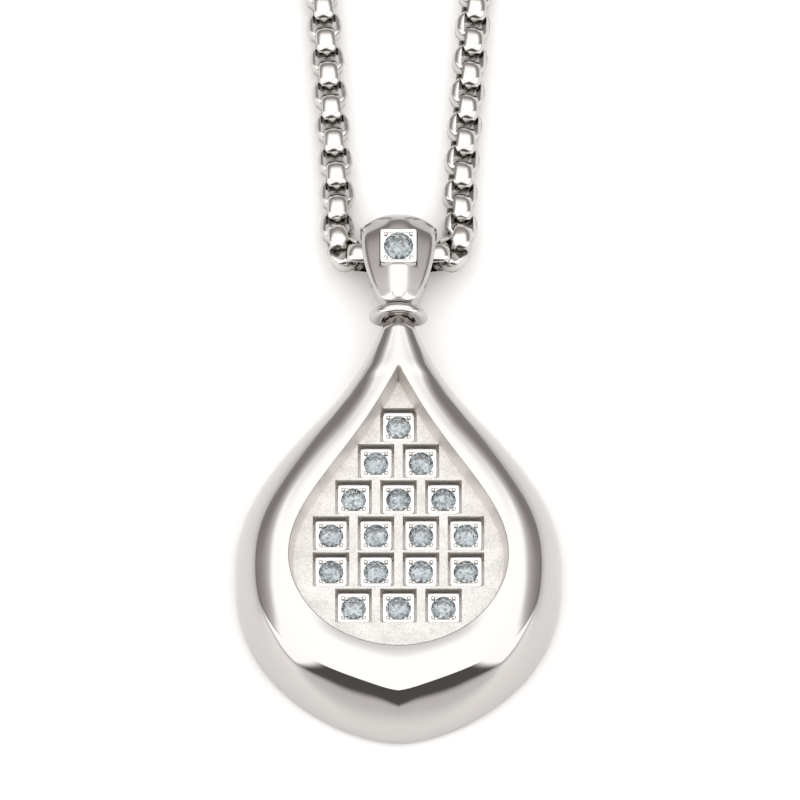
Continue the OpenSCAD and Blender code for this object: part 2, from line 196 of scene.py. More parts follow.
camera_data = bpy.data.cameras.new("camera")
camera_data.sensor_width = SENSOR_WIDTH
camera_data.lens = SENSOR_WIDTH * CAMERA_DISTANCE / SHOT_WIDTH
camera_data.clip_start = 0.01
camera = bpy.data.objects.new("camera", camera_data)
bpy.context.scene.collection.objects.link(camera)
bpy.context.scene.camera = camera
tilt = math.radians(SHOT_ELEVATION)
middle = to_frame(SHOT_MIDDLE)
camera.location = middle + CAMERA_DISTANCE * MM * np.array((0, -math.cos(tilt), math.sin(tilt)))
camera.rotation_euler = (math.pi / 2 - tilt, 0, 0)
bpy.context.scene.view_settings.view_transform = "Standard"


# The drop's frame.
# A teardrop cast in stainless steel and polished to a mirror. A convex band runs round the sunk
# field, turns over a shoulder, which is a crease at the bottom tip, and falls as a steep flank.
# The band's two sides meet above the field in a round neck, whose end sits in the bail's foot.

STEEL_HEX = "#C1BEBC"
# Places along the drop from its widest place, heights over the table, and the pocket's depths
APEX_Y, RING_Y, FOOT_Y, NECK_END_Y = 17.8, 23.2, 23.6, 24.6
NECK_Z, EDGE_Z = 3.7, 0.6
FIELD_DEPTH, FIELD_T, SEAT_GAP = 1.9, 1.75, 0.05
# Places round the half drop, from 0 at the neck's end to 1 at the bottom tip, and the control
# points of the lip's and the outer edge's curves between them
AT_APEX, AT_SHOULDER, AT_WIDEST = 0.25, 0.35, 0.6
RIM_UPPER = [(0, APEX_Y), (3.6, 9.6), (9.1, 6), (9.1, 0.6)]
RIM_LOWER = [(9.1, 0.6), (9.1, -4.1), (4.5, -7.45), (0, -7.45)]
EDGE_NECK = [(0.85, NECK_END_Y), (0.8, 21.7), (4.35, 17.1), (7.1, 14.2)]
EDGE_UPPER = [(7.1, 14.2), (14.1, 6.9), (13.55, 3.3), (13.55, 0.2)]
EDGE_LOWER = [(13.55, 0.2), (13.55, -9.4), (4.1, -13.8), (0, -13.8)]
# The shoulder's share of the way from lip to edge. Below the widest place it has its own curve,
# whose point at the bottom is sharpened by a slope and rounded off over some millimetres.
SHOULDER_SHARE = 0.58
SHOULDER_LOWER = [(11.681, 0.368), (11.681, -9.2), (4.8, -9.2), (0, -12.05)]
POINT_SLOPE, POINT_ROUND = 0.48, 1.35
# The window that rounds off the lip line's corner at the field's tip, the points taken in it,
# and the places between which it opens and closes
SOFT_WINDOW, SOFT_POINTS, SOFT_OPENS, SOFT_CLOSES = 0.11, 41, (0.02, 0.15), (0.38, 0.55)
# How far the shoulder lies under the lip, the slopes on both its sides in degrees, and how far
# below the widest place the tip's values, the crease's and the steep flank's set in
SIDE_DROP, TIP_DROP, NECK_DROP = 1.0, 0.8, 0.4
SIDE_SLOPE, TIP_SLOPE_IN, LOW_SLOPE_OUT, TIP_SLOPE_OUT = 36, 14, 27, 47
TIP_FROM_TO, CREASE_FROM_TO = (4, 12), (7, 12)
STEEP_SLOPE, STEEP_FROM_TO, STEEP_OVER_EDGE = 54, (6, 10), 0.3
LIP_SLOPE, TIP_LIP_SLOPE, TIP_LIP_SINK = 3, -12, 0.4
# The neck's size over and under its middle, and where the band, the edge and the back turn to it
NECK_ABOVE, TENON_ABOVE, NECK_BELOW = 1.5, 0.9, 1.0
BAND_TURNS, SHOULDER_TURNS, EDGE_RISES_Y, BACK_RISES_Y = 1, 3, 16.5, 17
RIDGE_SLOPE, RIDGE_END_Y, COLLAR_Y = 4, 21.5, 22.2
DROP_INSET, NECK_INSET = 0.6, 0.8
# The reach of the curves' inner control points, as shares of the band's or the flank's width
BAND_REACH, FLANK_REACH, TIP_LIP_REACH, TIP_FLANK_REACH = 0.38, 0.55, 0.62, 0.52
WIDE_REACH, FOOT_REACH, QUARTER_REACH = 0.45, 0.4, 0.55
LIP_ROUND, LIP_GROWS = 0.12, 0.03
# How far the pocket's wall leans in, and how far the groove for the plate runs out under the lip
WALL_LEAN, GROOVE = 0.35, 0.1
floor_z = drop_h - FIELD_DEPTH - FIELD_T - SEAT_GAP


def ease(x, start, end):
    """Smooth step from 0 at start to 1 at end: u * u * (3 - 2 u), u running evenly between."""
    u = np.clip((x - start) / (end - start), 0, 1)
    return u * u * (3 - 2 * u)


def unit(vectors):
    """Each vector divided by its own length."""
    return vectors / np.linalg.norm(vectors, axis=-1, keepdims=True)


def bezier(points, t):
    """Cubic curve through four control points: (1-t)^3 a + 3 (1-t)^2 t b + 3 (1-t) t^2 c + t^3 d.
    The points may be arrays themselves, one curve for each of their rows."""
    a, b, c, d = (np.asarray(p, float) for p in points)
    return (1 - t) ** 3 * a + 3 * (1 - t) ** 2 * t * b + 3 * (1 - t) * t * t * c + t ** 3 * d


def piecewise(t, pieces):
    """Joins curves end to end. pieces are (start, end, control points) along t."""
    t = t[:, None]
    line = np.zeros((len(t), 2))
    for start, end, points in pieces:
        u = np.clip((t - start) / (end - start), 0, 1)
        line = np.where((t >= start) & (t <= end), bezier(points, u), line)
    return line


def rim_line(t):
    """Right half of the lip: along the neck's crest to the field's tip, then round the field."""
    crest = [(0, NECK_END_Y), (0, NECK_END_Y + (APEX_Y - NECK_END_Y) / 3),
             (0, NECK_END_Y + (APEX_Y - NECK_END_Y) * 2 / 3), (0, APEX_Y)]
    return piecewise(t, [(0, AT_APEX, crest), (AT_APEX, AT_WIDEST, RIM_UPPER), (AT_WIDEST, 1, RIM_LOWER)])


def soft_rim(t):
    """The lip line with its corner at the field's tip rounded off: its mean over a window of t
    with cosine weights. The window closes towards the neck's end and the lower half."""
    window = SOFT_WINDOW * ease(t, *SOFT_OPENS) * (1 - ease(t, *SOFT_CLOSES))
    share = np.linspace(-1, 1, SOFT_POINTS)
    weight = 1 + np.cos(np.pi * share)
    near = rim_line((t[:, None] + window[:, None] * share).ravel()).reshape(len(t), len(share), 2)
    return (near * weight[:, None]).sum(axis=1) / weight.sum()


def edge_line(t):
    """Right half of the drop's outer edge, from the neck's end to the bottom tip."""
    return piecewise(t, [(0, AT_SHOULDER, EDGE_NECK), (AT_SHOULDER, AT_WIDEST, EDGE_UPPER),
                         (AT_WIDEST, 1, EDGE_LOWER)])


def ridge_height(y):
    """Height of the lip and the neck's crest: level round the field, falling gently along the
    neck, and steeply before the collar ring and the bail's foot."""
    z = drop_h - np.maximum(y - APEX_Y, 0) * math.tan(math.radians(RIDGE_SLOPE))
    z = z + (NECK_Z + NECK_ABOVE - z) * ease(y, RIDGE_END_Y, COLLAR_Y)
    return z - (NECK_ABOVE - TENON_ABOVE) * ease(y, RING_Y, FOOT_Y)


def rounded_lip(t):
    """Radius of the lip's rounded inner edge, which starts from nothing at the field's tip."""
    return LIP_ROUND * ease(t, AT_APEX, AT_APEX + LIP_GROWS)


def drop_sections(t, steps):
    """Points (place round the drop, place across the section, xyz) of the right half's skin.
    Each section is the groove for the plate, the leaning wall over it and a chain of curves: a
    quarter round at the lip, the band as far as the shoulder, the flank, and the rounded foot."""
    tan = lambda degrees: np.tan(np.radians(degrees))
    lip, out, soft = rim_line(t), edge_line(t), soft_rim(t)
    out_y = out[:, 1]
    # The lower shoulder rises from its curve by slope * (sqrt(x^2 + round^2) - x)
    low = piecewise(t, [(AT_WIDEST, 1, SHOULDER_LOWER)])
    low[:, 1] += POINT_SLOPE * (np.hypot(low[:, 0], POINT_ROUND) - low[:, 0])
    between = soft * (1 - SHOULDER_SHARE) + out * SHOULDER_SHARE
    shoulder = np.where(t[:, None] < AT_WIDEST, between, low)
    band_w, flank_w = (np.linalg.norm(span, axis=1) for span in (shoulder - lip, out - shoulder))
    at_tip, at_crease = ease(-out_y, *TIP_FROM_TO), ease(-out_y, *CREASE_FROM_TO)
    in_neck = ease(lip[:, 1], APEX_Y - BAND_TURNS, APEX_Y)
    lip_z = ridge_height(lip[:, 1]) - TIP_LIP_SINK * at_tip
    turn_z = (ridge_height(soft[:, 1]) - SIDE_DROP + (SIDE_DROP - TIP_DROP) * at_tip
              + (SIDE_DROP - NECK_DROP) * ease(soft[:, 1], APEX_Y - SHOULDER_TURNS, RING_Y))
    slope_lip = LIP_SLOPE * (1 - in_neck) + (TIP_LIP_SLOPE - LIP_SLOPE) * at_tip
    slope_in = SIDE_SLOPE + (TIP_SLOPE_IN - SIDE_SLOPE) * at_tip
    slope_out = (SIDE_SLOPE + (LOW_SLOPE_OUT - SIDE_SLOPE) * at_tip
                 + (TIP_SLOPE_OUT - LOW_SLOPE_OUT) * at_crease)
    wide_z = EDGE_Z + (NECK_Z - EDGE_Z) * ease(out_y, EDGE_RISES_Y, RING_Y)
    back_z = (NECK_Z - NECK_BELOW) * ease(out_y, BACK_RISES_Y, FOOT_Y)
    inset = DROP_INSET + (NECK_INSET - DROP_INSET) * ease(out_y, BACK_RISES_Y, RING_Y)
    r = rounded_lip(t)
    k0 = (BAND_REACH + (TIP_LIP_REACH - BAND_REACH) * at_tip) * band_w
    k1 = BAND_REACH * band_w
    k2 = (FLANK_REACH + (TIP_FLANK_REACH - FLANK_REACH) * at_crease) * flank_w
    # Below the crease the flank soon grows steeper, so only a narrow strip of it mirrors the gap
    handle_z = wide_z + WIDE_REACH * (turn_z - wide_z)
    steep_z = turn_z - k2 * tan(slope_out) - (flank_w - k2) * tan(STEEP_SLOPE)
    steep_z = np.maximum(steep_z, wide_z + STEEP_OVER_EDGE)
    handle_z = handle_z + (steep_z - handle_z) * ease(-out_y, *STEEP_FROM_TO)
    zero = np.zeros_like(t)
    curves = [
        [(zero, lip_z - r), (zero, lip_z - r * (1 - QUARTER_REACH)), (r * QUARTER_REACH, lip_z),
         (r, lip_z)],
        [(r, lip_z), (k0 + r, lip_z - k0 * tan(slope_lip)),
         (band_w - k1, turn_z + k1 * tan(slope_in)), (band_w, turn_z)],
        [(zero, turn_z), (k2, turn_z - k2 * tan(slope_out)), (flank_w, handle_z), (flank_w, wide_z)],
        [(flank_w, wide_z), (flank_w, back_z + FOOT_REACH * (wide_z - back_z)),
         (flank_w - FOOT_REACH * inset, back_z), (flank_w - inset, back_z)]]
    starts = [lip, lip, shoulder, shoulder]
    ways = [(shoulder - lip) / band_w[:, None]] * 2 + [(out - shoulder) / flank_w[:, None]] * 2
    skin = []
    for curve, places, start, way in zip(curves, steps, starts, ways):
        control = [np.stack(point, axis=1)[:, None, :] for point in curve]
        across, up = np.moveaxis(bezier(control, places[None, :, None]), 2, 0)
        skin.append(np.dstack([start[:, :1] + way[:, :1] * across,
                               start[:, 1:] + way[:, 1:] * across, up]))
    # The wall leans inwards by the lip's own normal, or meets its mirror image at the field's tip,
    # and the two small numbers keep the lower half, where the lip turns away, out of that
    run = unit(np.gradient(lip, t, axis=0))
    inward = np.column_stack([run[:, 1], -run[:, 0]])
    share = np.clip(lip[:, 0] / (WALL_LEAN * np.maximum(-inward[:, 0], 1e-6)), 0, 1)
    share = np.where(inward[:, 0] < -0.01, share, 1) * (t >= AT_APEX)
    wall_z = lip_z - r + (drop_h - FIELD_DEPTH - lip_z + r) * share
    wall_xy = lip + inward * (WALL_LEAN * share)[:, None]
    # Under the wall's foot runs a groove for the plate's edge, but not where the walls meet
    groove_xy = np.where((share < 1)[:, None], wall_xy, lip - inward * GROOVE)
    foot_z = np.where(share < 1, wall_z, floor_z)
    wall_xy[-1, 0] = groove_xy[-1, 0] = 0
    wall = np.stack([np.column_stack(place) for place in (
        (groove_xy, foot_z), (groove_xy, wall_z), (wall_xy, wall_z))], axis=1)
    return np.concatenate([wall, *skin], axis=1)


def quads(rows, columns, start=0, close_columns=False, close_rows=False):
    """Corner numbers of the quads of a grid whose points are numbered row by row from start."""
    i = np.arange(rows if close_rows else rows - 1)[:, None]
    j = np.arange(columns if close_columns else columns - 1)[None, :]
    i2, j2 = (i + 1) % rows, (j + 1) % columns
    corners = [i * columns + j, i2 * columns + j, i2 * columns + j2, i * columns + j2]
    return np.stack(corners, axis=-1).reshape(-1, 4) + start


def solid_mesh(name, points, faces, sharp_above=50, weld=0.002):
    """Mesh from points in mm and blocks of faces given by corner numbers. Points closer than
    weld mm are merged, normals turned outwards, and edges that turn by more than sharp_above
    degrees are sharp."""
    mesh = bpy.data.meshes.new(name)
    corners = [face for block in faces for face in np.asarray(block).tolist()]
    mesh.from_pydata(to_frame(points).reshape(-1, 3).tolist(), [], corners)
    shell = bmesh.new()
    shell.from_mesh(mesh)
    bmesh.ops.remove_doubles(shell, verts=shell.verts, dist=weld * MM)
    bmesh.ops.dissolve_degenerate(shell, edges=shell.edges, dist=weld * MM / 4)
    bmesh.ops.recalc_face_normals(shell, faces=shell.faces)
    shell.to_mesh(mesh)
    shell.free()
    mesh.shade_smooth()
    mesh.set_sharp_from_angle(angle=math.radians(sharp_above))
    return mesh


def packed_ends(count):
    """count places from 0 to 1 that crowd towards both ends, where a crease or a lip is: the
    hyperbolic tangent of CROWDING times evenly spaced places, brought to the range 0 to 1."""
    u = np.linspace(-1, 1, count)
    return 0.5 + 0.5 * np.tanh(CROWDING * u) / math.tanh(CROWDING)


CROWDING = 2.2
NECK_ROWS, HALF_ROWS = 30, 90
LIP_POINTS, BAND_POINTS, FLANK_POINTS, FOOT_POINTS, WALL_COLUMNS = 5, 26, 30, 7, 3
neck_t = np.linspace(0, AT_APEX, NECK_ROWS, endpoint=False)
upper_t = np.linspace(AT_APEX, AT_WIDEST, HALF_ROWS, endpoint=False)
lower_t = np.linspace(AT_WIDEST, 1, HALF_ROWS)
places_round = np.concatenate([neck_t, upper_t, lower_t])
steps_across = (np.linspace(0, 1, LIP_POINTS)[:-1], packed_ends(BAND_POINTS)[:-1],
                packed_ends(FLANK_POINTS)[:-1], np.linspace(0, 1, FOOT_POINTS))
right = drop_sections(places_round, steps_across)
rows, columns = right.shape[:2]
left = right * (-1, 1, 1)
half_count = rows * columns
skin = quads(rows, columns)
# The neck has no pocket, so the wall's columns there bear no faces
pocket_side = (skin[:, 0] % columns < WALL_COLUMNS) & (skin[:, 0] // columns < NECK_ROWS)
skin = skin[~pocket_side]
back_right = np.arange(rows) * columns + columns - 1
foot_right = np.arange(NECK_ROWS, rows) * columns
back_faces, pocket_floor = (
    np.stack([line[:-1], line[1:], line[1:] + half_count, line[:-1] + half_count], axis=1)
    for line in (back_right, foot_right))
neck_cap = [[*range(WALL_COLUMNS, columns),
             *range(half_count + columns - 1, half_count + WALL_COLUMNS - 1, -1)]]
drop_mesh = solid_mesh("teardrop_frame", np.concatenate([right, left]),
                       [skin, skin[:, ::-1] + half_count, back_faces, pocket_floor, neck_cap])

# Polished stainless steel, 316L: a neutral grey metal. Hand polishing on a wheel leaves waves
# of a few millimetres that are too low to see but for the lines it mirrors.
POLISH_WAVE = 2.5
steel, tree, shader = new_material("polished_stainless_steel", **{
    "Base Color": linear(STEEL_HEX), "Metallic": 1.0, "Roughness": 0.05})
place = add_node(tree, "ShaderNodeTexCoord").outputs["Object"]
waves = add_node(tree, "ShaderNodeTexNoise", {
    "Vector": place, "Scale": 1 / (POLISH_WAVE * MM), "Detail": 1.0})
gloss = add_node(tree, "ShaderNodeMapRange", {
    "Value": waves.outputs[0], "To Min": 0.03, "To Max": 0.075})
tree.links.new(gloss.outputs[0], shader.inputs["Roughness"])
ripple = add_node(tree, "ShaderNodeBump", {
    "Height": waves.outputs[0], "Strength": 0.05, "Distance": 0.02 * MM})
tree.links.new(ripple.outputs[0], shader.inputs["Normal"])

# Satin stainless steel: the pocket's wall and floor, which no polishing wheel reaches, keep the
# fine scratches of the burr that trued them, so they mirror the field as a mere blur. The
# scratches are drawn a quarter of a millimetre apart, coarser than they are, so that they show.
BURR = 0.25
# Its base colour is whiter than the polished steel's. That is painted light, which lifts the shade of the
# pocket's wall and floor. The blur from the scratches is real.
satin, tree, shader = new_material("satin_stainless_steel", **{
    "Base Color": linear("#E9E5E2"), "Metallic": 1.0, "Roughness": 0.45})
place = add_node(tree, "ShaderNodeTexCoord").outputs["Object"]
burr = add_node(tree, "ShaderNodeTexNoise", {
    "Vector": place, "Scale": 1 / (BURR * MM), "Detail": 2.0})
gloss = add_node(tree, "ShaderNodeMapRange", {
    "Value": burr.outputs[0], "To Min": 0.38, "To Max": 0.52})
tree.links.new(gloss.outputs[0], shader.inputs["Roughness"])

drop = add_piece("teardrop_frame", drop_mesh, steel)
drop_mesh.materials.append(satin)
# Satin are the steep faces that look towards the field and the level ones of the pocket's floor
STEEP, LEVEL, ON_FLOOR = 0.5, 0.9, 0.01
face_middle = np.empty(len(drop_mesh.polygons) * 3)
face_normal = np.empty_like(face_middle)
drop_mesh.polygons.foreach_get("center", face_middle)
drop_mesh.polygons.foreach_get("normal", face_normal)
face_middle = face_middle.reshape(-1, 3) / MM - (0, WIDEST_Y, 0)
face_normal = face_normal.reshape(-1, 3)
to_field = face_normal[:, 0] * face_middle[:, 0] + face_normal[:, 1] * face_middle[:, 1]
on_wall = (to_field < 0) & (np.abs(face_normal[:, 2]) < STEEP) & (face_middle[:, 2] > floor_z)
on_floor = (face_normal[:, 2] > LEVEL) & (np.abs(face_middle[:, 2] - floor_z) < ON_FLOOR)
drop_mesh.polygons.foreach_set("material_index", (on_wall | on_floor).astype(np.int32))
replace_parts(drop, "drop_frame")


# The matt field.
# A steel plate let into the drop's pocket and sandblasted, so it scatters the light and does not
# mirror. Each setting stands in its own square pit, which the plate was cut for.

GRIT, CLOUD, PIT_FADE = 0.12, 1.6, (0.03, 0.06)
field_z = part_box("field_plate")[1][2] / MM
# Sandblasted stainless steel: close-set pits of the grit, about 0.05 mm across on the real one and drawn
# 0.12 mm across so that they show, scatter the light to an even silvery white, with faint clouds 1.6 mm
# across. The walls of the square pits get a lighter colour, which sets in between two depths below the
# plate's face. It is painted light that lifts the shade in the pits.
matt, tree, shader = new_material("sandblasted_steel", **{
    "Base Color": linear("#BDBAB6"), "Metallic": 1.0, "Roughness": 0.5})
place = add_node(tree, "ShaderNodeTexCoord").outputs["Object"]
grit = add_node(tree, "ShaderNodeTexNoise", {
    "Vector": place, "Scale": 1 / (GRIT * MM), "Detail": 3.0})
cloud = add_node(tree, "ShaderNodeTexNoise", {
    "Vector": place, "Scale": 1 / (CLOUD * MM), "Detail": 3.0})
tone = add_node(tree, "ShaderNodeMix", {0: 0.35, 2: grit.outputs[0], 3: cloud.outputs[0]})
shade = add_node(tree, "ShaderNodeValToRGB", {"Fac": tone.outputs[0]}, [
    (0.38, linear("#B9B6B3")), (0.50, linear("#C9C6C3")), (0.62, linear("#D5D2CF"))])
height = add_node(tree, "ShaderNodeSeparateXYZ", {0: place}).outputs["Z"]
pit_light_mask = add_node(tree, "ShaderNodeMapRange", {
    "Value": height, "From Min": (field_z - PIT_FADE[0]) * MM,
    "From Max": (field_z - PIT_FADE[1]) * MM}).outputs[0]
# Painted light: inside the pits the colour turns a lighter grey, which lifts the shade on the pits' walls.
blast_tone_and_pit_light = add_node(tree, "ShaderNodeMix", {0: pit_light_mask, 6: shade.outputs[0], 7: linear("#E0DAD5")},
                  data_type="RGBA")
tree.links.new(blast_tone_and_pit_light.outputs[2], shader.inputs["Base Color"])
pits = add_node(tree, "ShaderNodeBump", {
    "Height": grit.outputs[0], "Strength": 0.35, "Distance": 0.03 * MM})
tree.links.new(pits.outputs[0], shader.inputs["Normal"])
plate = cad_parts["field_plate"]
plate.data.materials.clear()
plate.data.materials.append(matt)


# The settings.
# Square steel collets, one in each pit of the field, polished bright. The rim is pressed a
# little over the stone's edge, and a claw in each inner corner is bent down on to the stone.

STONES_IN_FIELD = 17
STONE_D, GIRDLE_UNDER_RIM = 2.05, 0.12
COLLET_SIDES = 64
# The claws' diameter, height and sides, and how far they reach into the mouth's wall, which is
# itself cut back a little for the stone
CLAW_D, CLAW_H, CLAW_SIDES, CLAW_BITE, CUT_BACK = 0.42, 0.24, 12, 0.03, 0.03
# How far a claw's ball starts under the girdle and its post reaches below that, and the seat's
# depth under the girdle and the hole's radius as shares of the stone's diameter
CLAW_SINK, CLAW_POST, SEAT_SHARE, HOLE_SHARE = 0.02, 0.15, 0.24, 0.25


def rounded_square(half, power, turn):
    """Points of a square with rounded corners: in the direction turn they lie at
    half / (|cos|^power + |sin|^power)^(1/power), so a high power is a sharp square and 2 a circle."""
    c, s = np.cos(turn), np.sin(turn)
    reach = half / (np.abs(c) ** power + np.abs(s) ** power) ** (1 / power)
    return np.stack(np.broadcast_arrays(reach * c, reach * s), axis=-1)


def stacked_rings(half, power, z, columns):
    """Grid of points: one rounded square for each entry of half, power and z, one above another."""
    turn = np.linspace(0, 2 * np.pi, columns, endpoint=False)[None, :]
    ring = rounded_square(np.array(half)[:, None], np.array(power, float)[:, None], turn)
    return np.dstack([ring, np.broadcast_to(np.array(z, float)[:, None], ring.shape[:2])])


def collet_parts(w, d, bottom, top, girdle):
    """Points and faces of one collet. Its profile lists half widths, powers of the rounded square
    and heights, and runs up the outside, over the rim, down the mouth to the seat under the
    girdle, through the round hole and back along the underside."""
    half, mouth, hole, seat = w / 2, d / 2, d * HOLE_SHARE, girdle - SEAT_SHARE * d
    profile = [(half, 24, bottom), (half, 24, top - 0.05), (half - 0.015, 22, top - 0.015),
               (half - 0.05, 20, top), (mouth + 0.04, 9, top), (mouth, 8, top - 0.025),
               (mouth, 8, top - 0.045), (mouth + CUT_BACK, 9, top - 0.10),
               (mouth + CUT_BACK, 9, girdle - 0.05), (mouth - 0.03, 2, girdle - 0.06),
               (mouth - 0.22, 2, seat), (hole, 2, seat), (hole, 2, bottom)]
    points = stacked_rings(*zip(*profile), COLLET_SIDES).reshape(-1, 3)
    faces = [quads(len(profile), COLLET_SIDES, close_columns=True, close_rows=True)]
    corner = mouth + CUT_BACK - CLAW_D / 2 + CLAW_BITE
    # A claw is half a ball over a short post. Its top ring is all but a point.
    rise = np.radians([0, 25, 50, 72, 90])
    for x, y in ((1, 1), (-1, 1), (-1, -1), (1, -1)):
        start = len(points)
        claw = stacked_rings(CLAW_D / 2 * np.cos(rise) + 1e-4, [2] * len(rise),
                             girdle - CLAW_SINK + CLAW_H * np.sin(rise), CLAW_SIDES)
        foot = claw[:1] - (0, 0, CLAW_POST)
        claw = np.concatenate([foot, claw]).reshape(-1, 3) + (x * corner, y * corner, 0)
        points = np.concatenate([points, claw])
        end = len(points)
        faces += [quads(len(rise) + 1, CLAW_SIDES, start, close_columns=True),
                  [list(range(start + CLAW_SIDES - 1, start - 1, -1))],
                  [list(range(end - CLAW_SIDES, end))]]
    return points, faces


def node_middle(name):
    """Middle x and y of a CAD node in mm from the drop's widest place, and the lowest and highest
    corners of its box in mm in the frame."""
    low, high = (np.array(corner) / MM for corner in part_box(name))
    middle = (low + high) / 2 - (0, WIDEST_Y, 0)
    return middle[0], middle[1], low, high


# Bright-polished stainless steel, 316L: the same metal as the drop with a whiter finish, since
# the small flat rims were polished last, face down on a lap.
bright, tree, shader = new_material("lapped_stainless_steel", **{
    "Base Color": linear("#D6D4D2"), "Metallic": 1.0, "Roughness": 0.08})
place = add_node(tree, "ShaderNodeTexCoord").outputs["Object"]
LAP_WAVE = 0.8
lap = add_node(tree, "ShaderNodeTexNoise", {
    "Vector": place, "Scale": 1 / (LAP_WAVE * MM), "Detail": 2.0})
gloss = add_node(tree, "ShaderNodeMapRange", {
    "Value": lap.outputs[0], "To Min": 0.05, "To Max": 0.13})
tree.links.new(gloss.outputs[0], shader.inputs["Roughness"])

for number in range(1, STONES_IN_FIELD + 1):
    name = f"setting_{number:02d}"
    x, y, low, high = node_middle(name)
    points, faces = collet_parts(high[0] - low[0], STONE_D, low[2], high[2],
                                 high[2] - GIRDLE_UNDER_RIM)
    mesh = solid_mesh(f"collet_{number:02d}", points + (x, y, 0), faces, sharp_above=35, weld=0.0005)
    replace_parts(add_piece(f"collet_{number:02d}", mesh, bright), name)


# The stones.
# Round cubic zirconias in the full brilliant cut: a table, eight stars, eight kites and sixteen
# halves above the girdle, and sixteen halves and eight kites below it, each a flat facet.

# Heights of crown, girdle and pavilion and the table's width, as shares of the diameter, then the
# radii where the stars meet the kites above and the halves meet them below, as shares of the
# radius, and by how many radians each stone is turned against the one before
CROWN, GIRDLE, PAVILION, TABLE = 0.16, 0.02, 0.41, 0.57
STAR_RING, LOWER_RING = 0.5 + TABLE * 0.46, 0.25
TURN_STEP = 0.21


def brilliant_parts(d, girdle_z, turned):
    """Points and faces of a brilliant of diameter d. The kites' planes hold the table's corners
    and the girdle, or the girdle and the culet, so the inner rings lie where the kites meet."""
    r, rt, rs, rl = d / 2, d / 2 * TABLE, d / 2 * STAR_RING, d / 2 * LOWER_RING
    eighth = np.arange(8) * np.pi / 4 + turned
    between = np.arange(8) * np.pi / 4 + np.pi / 8 + turned
    sixteenth = np.arange(16) * np.pi / 8 + turned
    top, low = girdle_z + GIRDLE * d / 2, girdle_z - GIRDLE * d / 2
    kite = math.cos(math.pi / 8)
    star_z = top + CROWN * d * (r - rs * kite) / (r - rt)
    culet = low - PAVILION * d
    lower_z = culet + (low - culet) * rl * kite / r
    ring = lambda angle, radius, z: np.column_stack(
        [radius * np.cos(angle), radius * np.sin(angle), np.full(len(angle), z)])
    points = np.concatenate([ring(eighth, rt, top + CROWN * d), ring(between, rs, star_z),
                             ring(sixteenth, r, top), ring(sixteenth, r, low), ring(between, rl, lower_z),
                             [[0, 0, culet]]])
    i, j = np.arange(8), (np.arange(8) + 1) % 8
    # The number of each ring's first point, in the order in which they are listed above
    table, star, upper, under, lower, tip = 0, 8, 16, 32, 48, 56
    even, odd, after = 2 * i, 2 * i + 1, 2 * j
    n, m = np.arange(16), (np.arange(16) + 1) % 16
    stack = lambda *numbers: np.stack(np.broadcast_arrays(*numbers), axis=1)
    return points, [
        [list(range(8))],
        stack(table + i, star + i, table + j),
        stack(table + j, star + i, upper + after, star + j),
        stack(star + i, upper + even, upper + odd), stack(star + i, upper + odd, upper + after),
        stack(upper + n, under + n, under + m, upper + m),
        stack(under + even, lower + i, under + odd), stack(under + odd, lower + i, under + after),
        stack(under + after, lower + i, tip, lower + j)]


# Cubic zirconia: clear, colourless, and so strongly refracting that it flashes light and dark.
# The photographed stones are too small for single facets to show, so cells of about a facet's size, 0.24
# mm, tint them from near black to a cold light grey. These are painted reflections standing for the facets'
# dark and bright flashes, not a colour of the clear stone.
clear, tree, shader = new_material("cubic_zirconia", **{
    "Base Color": linear("#E3EEFA"), "Roughness": 0.0, "IOR": 2.15, "Transmission Weight": 1.0})
place = add_node(tree, "ShaderNodeTexCoord").outputs["Object"]
FLASH = 0.24
flash = add_node(tree, "ShaderNodeTexVoronoi", {
    "Vector": place, "Scale": 1 / (FLASH * MM), "Randomness": 1.0})
cell = add_node(tree, "ShaderNodeSeparateColor", {0: flash.outputs["Color"]})
# Painted reflection: near black and light grey cells for the facets' flashes.
tint = add_node(tree, "ShaderNodeValToRGB", {"Fac": cell.outputs[0]}, [
    (0.14, linear("#2C343A")), (0.24, linear("#7A868E")),
    (0.60, linear("#8A9296")), (0.85, linear("#A5AAAC"))])
tree.links.new(tint.outputs[0], shader.inputs["Base Color"])

for number in range(1, STONES_IN_FIELD + 1):
    name = f"stone_{number:02d}"
    x, y, low, high = node_middle(name)
    d = high[0] - low[0]
    points, faces = brilliant_parts(d, high[2] - CROWN * d - GIRDLE * d / 2, TURN_STEP * number)
    mesh = solid_mesh(f"brilliant_{number:02d}", points + (x, y, 0), faces, sharp_above=1)
    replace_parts(add_piece(f"brilliant_{number:02d}", mesh, clear), name)


# The collar ring.
# A round steel wire bent to a ring and polished. It sits round the drop's neck under the
# bail's foot and hides the joint between the two.

ring_low, ring_high = (np.array(corner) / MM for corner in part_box("collar_ring"))
RING_D, RING_WIRE = ring_high[0] - ring_low[0], ring_high[1] - ring_low[1]
# The ring's underside is flattened to this share of its height, and the whole is narrowed a little
RING_BACK, RING_NARROW, RING_INSIDE_W = 0.35, 0.93, 2.4
RING_STEPS, WIRE_SIDES = 96, 32
# A circle of wire carried round an oval, whose half height is the ring's and whose half width
# runs between those of the ring's outside and its inside
turn = np.linspace(0, 2 * np.pi, RING_STEPS, endpoint=False)[:, None]
wire = np.linspace(0, 2 * np.pi, WIRE_SIDES, endpoint=False)[None, :]
up = (RING_D - RING_WIRE + RING_WIRE * np.cos(wire)) / 2 * np.sin(turn)
wide = RING_NARROW * RING_D
aside = (wide + RING_INSIDE_W + (wide - RING_INSIDE_W) * np.cos(wire)) / 4 * np.cos(turn)
hoop = np.dstack(np.broadcast_arrays(
    aside, RING_Y + RING_WIRE / 2 * np.sin(wire), NECK_Z + np.where(up < 0, RING_BACK, 1) * up))
ring_faces = quads(RING_STEPS, WIRE_SIDES, close_columns=True, close_rows=True)
ring_mesh = solid_mesh("collar_wire", hoop, [ring_faces])
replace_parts(add_piece("collar_wire", ring_mesh, steel), "collar_ring")


# The bail.
# A steel strap cast as a closed loop and polished, wide at its shoulders and narrow at its
# foot. The chain runs through it, and its front carries a square setting with one more stone.

